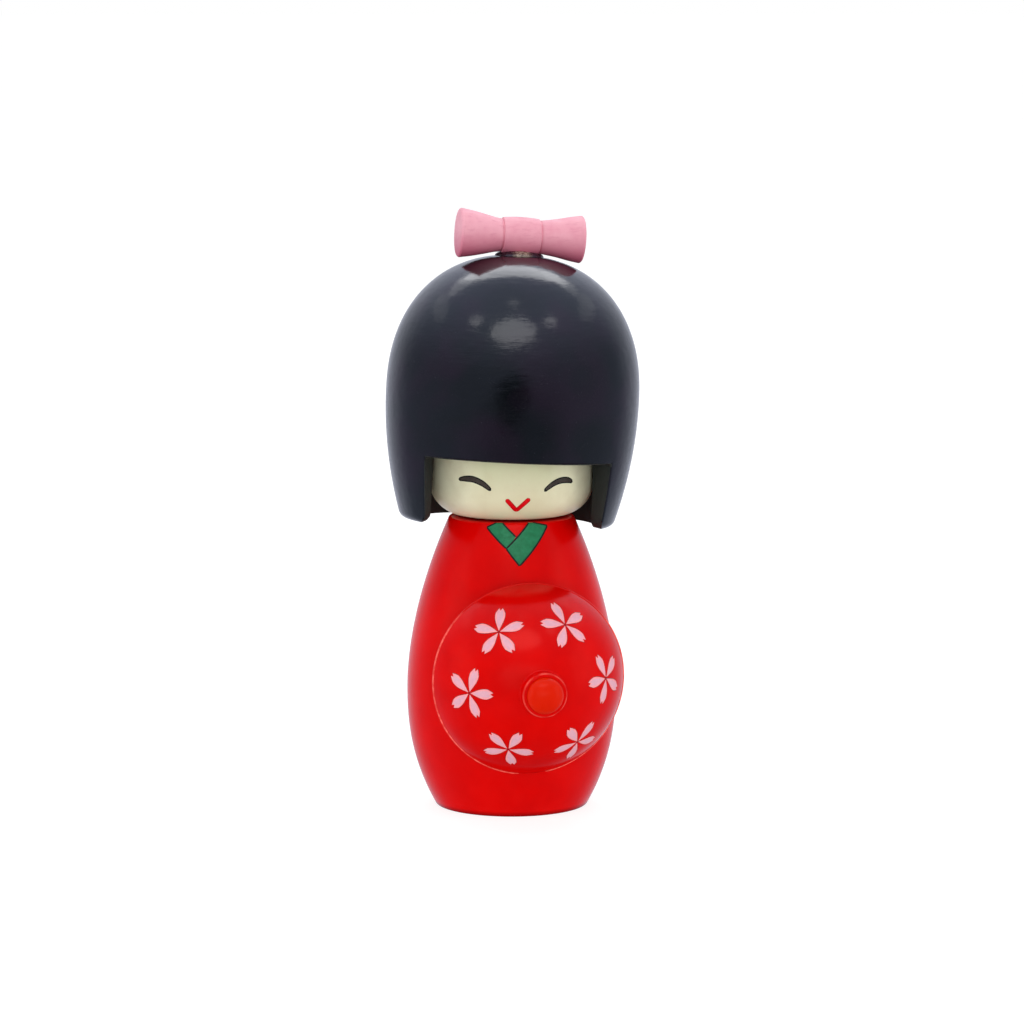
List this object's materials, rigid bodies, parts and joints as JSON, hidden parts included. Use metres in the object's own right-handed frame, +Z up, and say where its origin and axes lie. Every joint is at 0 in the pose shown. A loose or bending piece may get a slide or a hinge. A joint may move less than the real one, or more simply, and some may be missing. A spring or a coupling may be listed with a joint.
{
  "type": "kokeshi doll",
  "caption": "Turned wooden kokeshi doll with a head that swivels on a neck dowel, a bobbed hair cap, a spindle bow and a domed parasol on its front.",
  "frame": {"origin": "centre of the flat round base the doll stands on", "axes": "+Z up along the body's turning axis, -Y the way the face looks, +X towards the doll's left hand"},
  "size_m": [0.0561, 0.0702, 0.1331],
  "materials": {
    "body_lacquer": "gloss red lacquer with a painted green collar",
    "face_paint": "satin cream paint with painted eyes and mouth",
    "hair_lacquer": "semi-gloss blue-black lacquer",
    "bow_paint": "satin pink paint",
    "parasol_lacquer": "gloss red lacquer with six painted blossoms",
    "finial_lacquer": "gloss orange-red lacquer",
    "bare_wood": "bare turned dowel"
  },
  "bodies": {
    "body_group": {"body": "body_lacquer", "parasol_canopy": "parasol_lacquer", "parasol_finial": "finial_lacquer", "parasol_peg": "bare_wood"},
    "head_group": {"head": "face_paint", "neck_dowel": "bare_wood", "hair_cap": "hair_lacquer", "bow": "bow_paint"}
  },
  "joints": [
    {"name": "head_swivel", "type": "hinge", "parent": "body_group", "child": "head_group", "pos_m": [0, 0, 0.06505], "axis": [0, 0, 1], "continuous": true}
  ]
}
